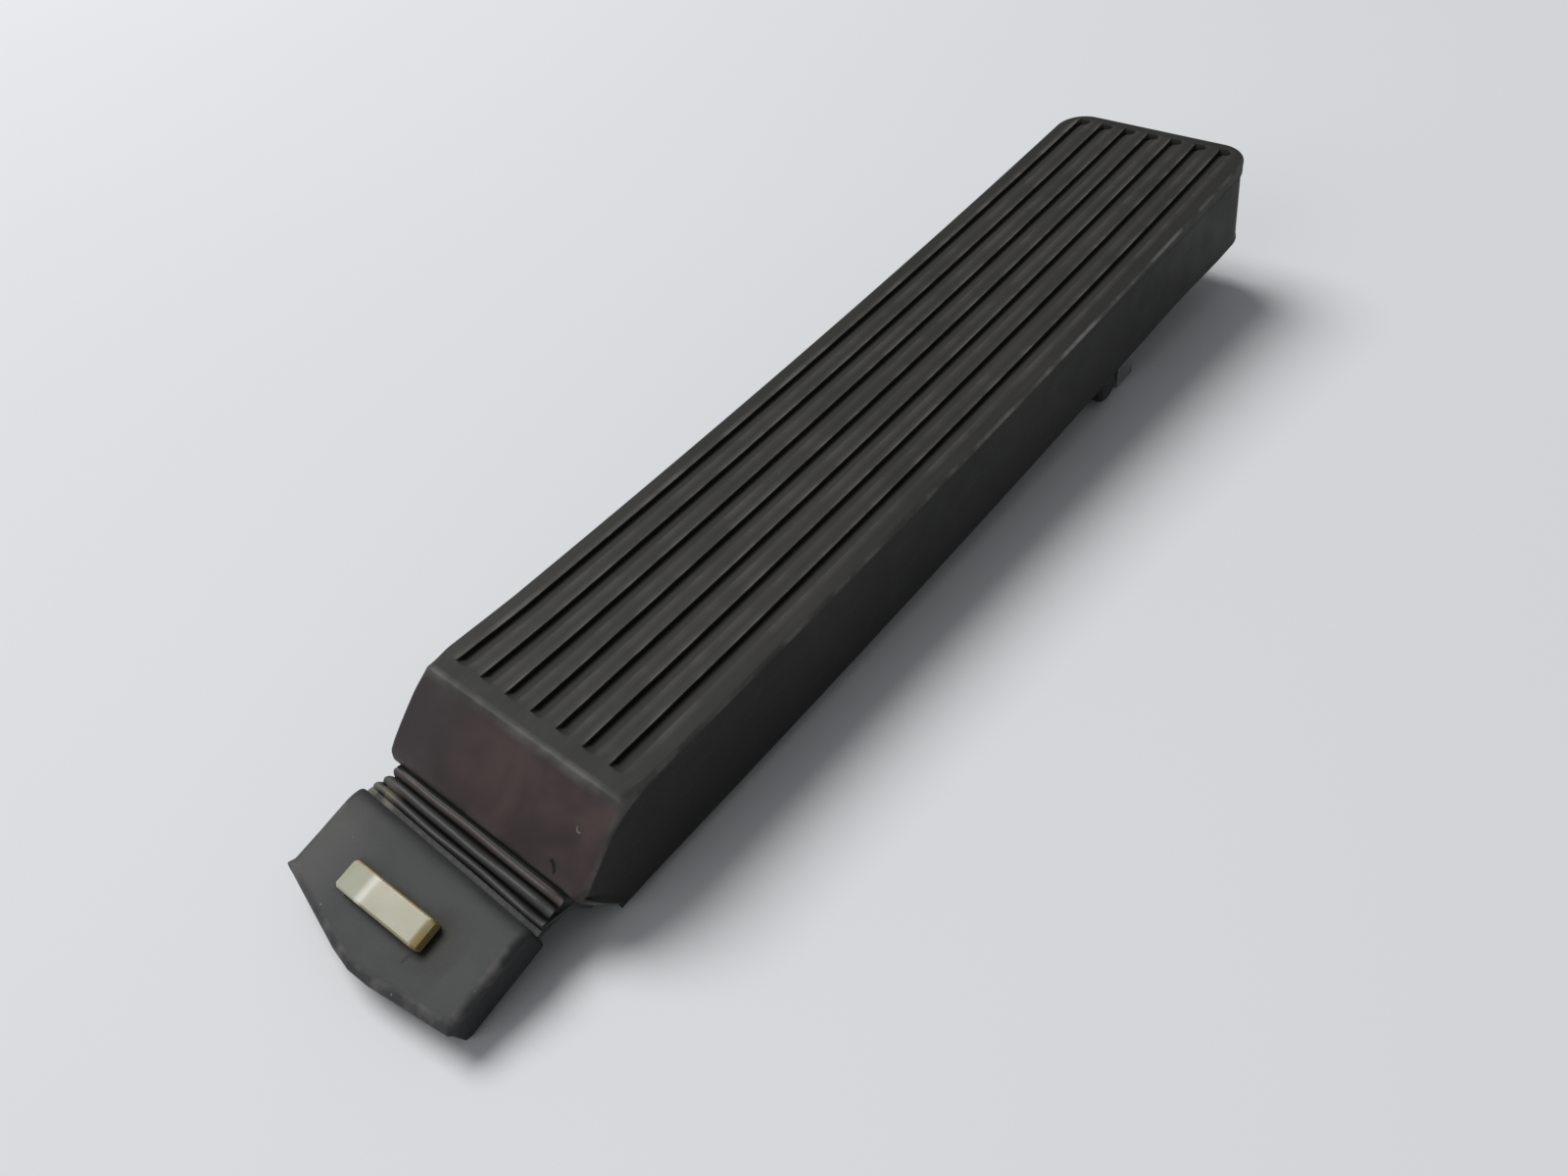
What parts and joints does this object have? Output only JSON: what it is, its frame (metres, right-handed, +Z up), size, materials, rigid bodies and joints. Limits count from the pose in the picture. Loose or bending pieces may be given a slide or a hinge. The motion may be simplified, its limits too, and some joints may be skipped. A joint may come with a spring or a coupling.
{
  "type": "floor-hinged pedal",
  "caption": "Slim floor-hinged pedal: long ribbed rubber pad on a stiff core, bellows hinge, clipped rubber foot and a roller bracket underneath.",
  "frame": {"origin": "on the floor, under the middle of the pedal's bounding box", "axes": "+X to the pedal's right, +Y from the foot to the pad's far end, +Z up"},
  "size_m": [0.05, 0.2685, 0.0364],
  "materials": {
    "pad_rubber": "worn moulded rubber, satin on the rib crowns, faded red-brown on the nose",
    "foot_rubber": "dusty grey-black moulded rubber",
    "core_nylon": "glass-filled nylon, faint mould texture",
    "clip_nylon": "translucent natural nylon, yellowed at the edges",
    "sheet_steel": "grey phosphated pressed steel",
    "zinc_steel": "dull zinc plate",
    "roller_rubber": "matt black rubber",
    "roller_nylon": "natural nylon"
  },
  "bodies": {
    "foot": {"foot_block": "foot_rubber", "foot_insert": "zinc_steel", "hinge_bellows": "foot_rubber", "retaining_clip": "clip_nylon"},
    "pedal": {"pad_cover": "pad_rubber", "core_frame": "core_nylon", "hinge_clamp": "sheet_steel", "linkage_bracket": "sheet_steel", "roller_pin": "zinc_steel", "pin_cap": "roller_rubber", "washer_inner": "zinc_steel", "washer_outer": "zinc_steel", "bracket_screw_1": "zinc_steel", "bracket_screw_2": "zinc_steel", "bracket_screw_3": "zinc_steel", "bracket_screw_4": "zinc_steel", "hinge_screw_1": "zinc_steel", "hinge_screw_2": "zinc_steel", "hinge_screw_3": "zinc_steel"},
    "roller": {"roller_hub": "roller_nylon", "roller_tyre": "roller_rubber"}
  },
  "joints": [
    {"name": "pedal_hinge", "type": "hinge", "parent": "foot", "child": "pedal", "pos_m": [0, -0.10908, 0.0095], "axis": [1, 0, 0], "range_deg": [0, 50], "stiffness_Nm_per_rad": 0.8, "deforming": ["hinge_bellows"]},
    {"name": "roller_spin", "type": "hinge", "parent": "pedal", "child": "roller", "pos_m": [0.0094, 0.06804, 0.005], "axis": [1, 0, 0], "continuous": true}
  ]
}
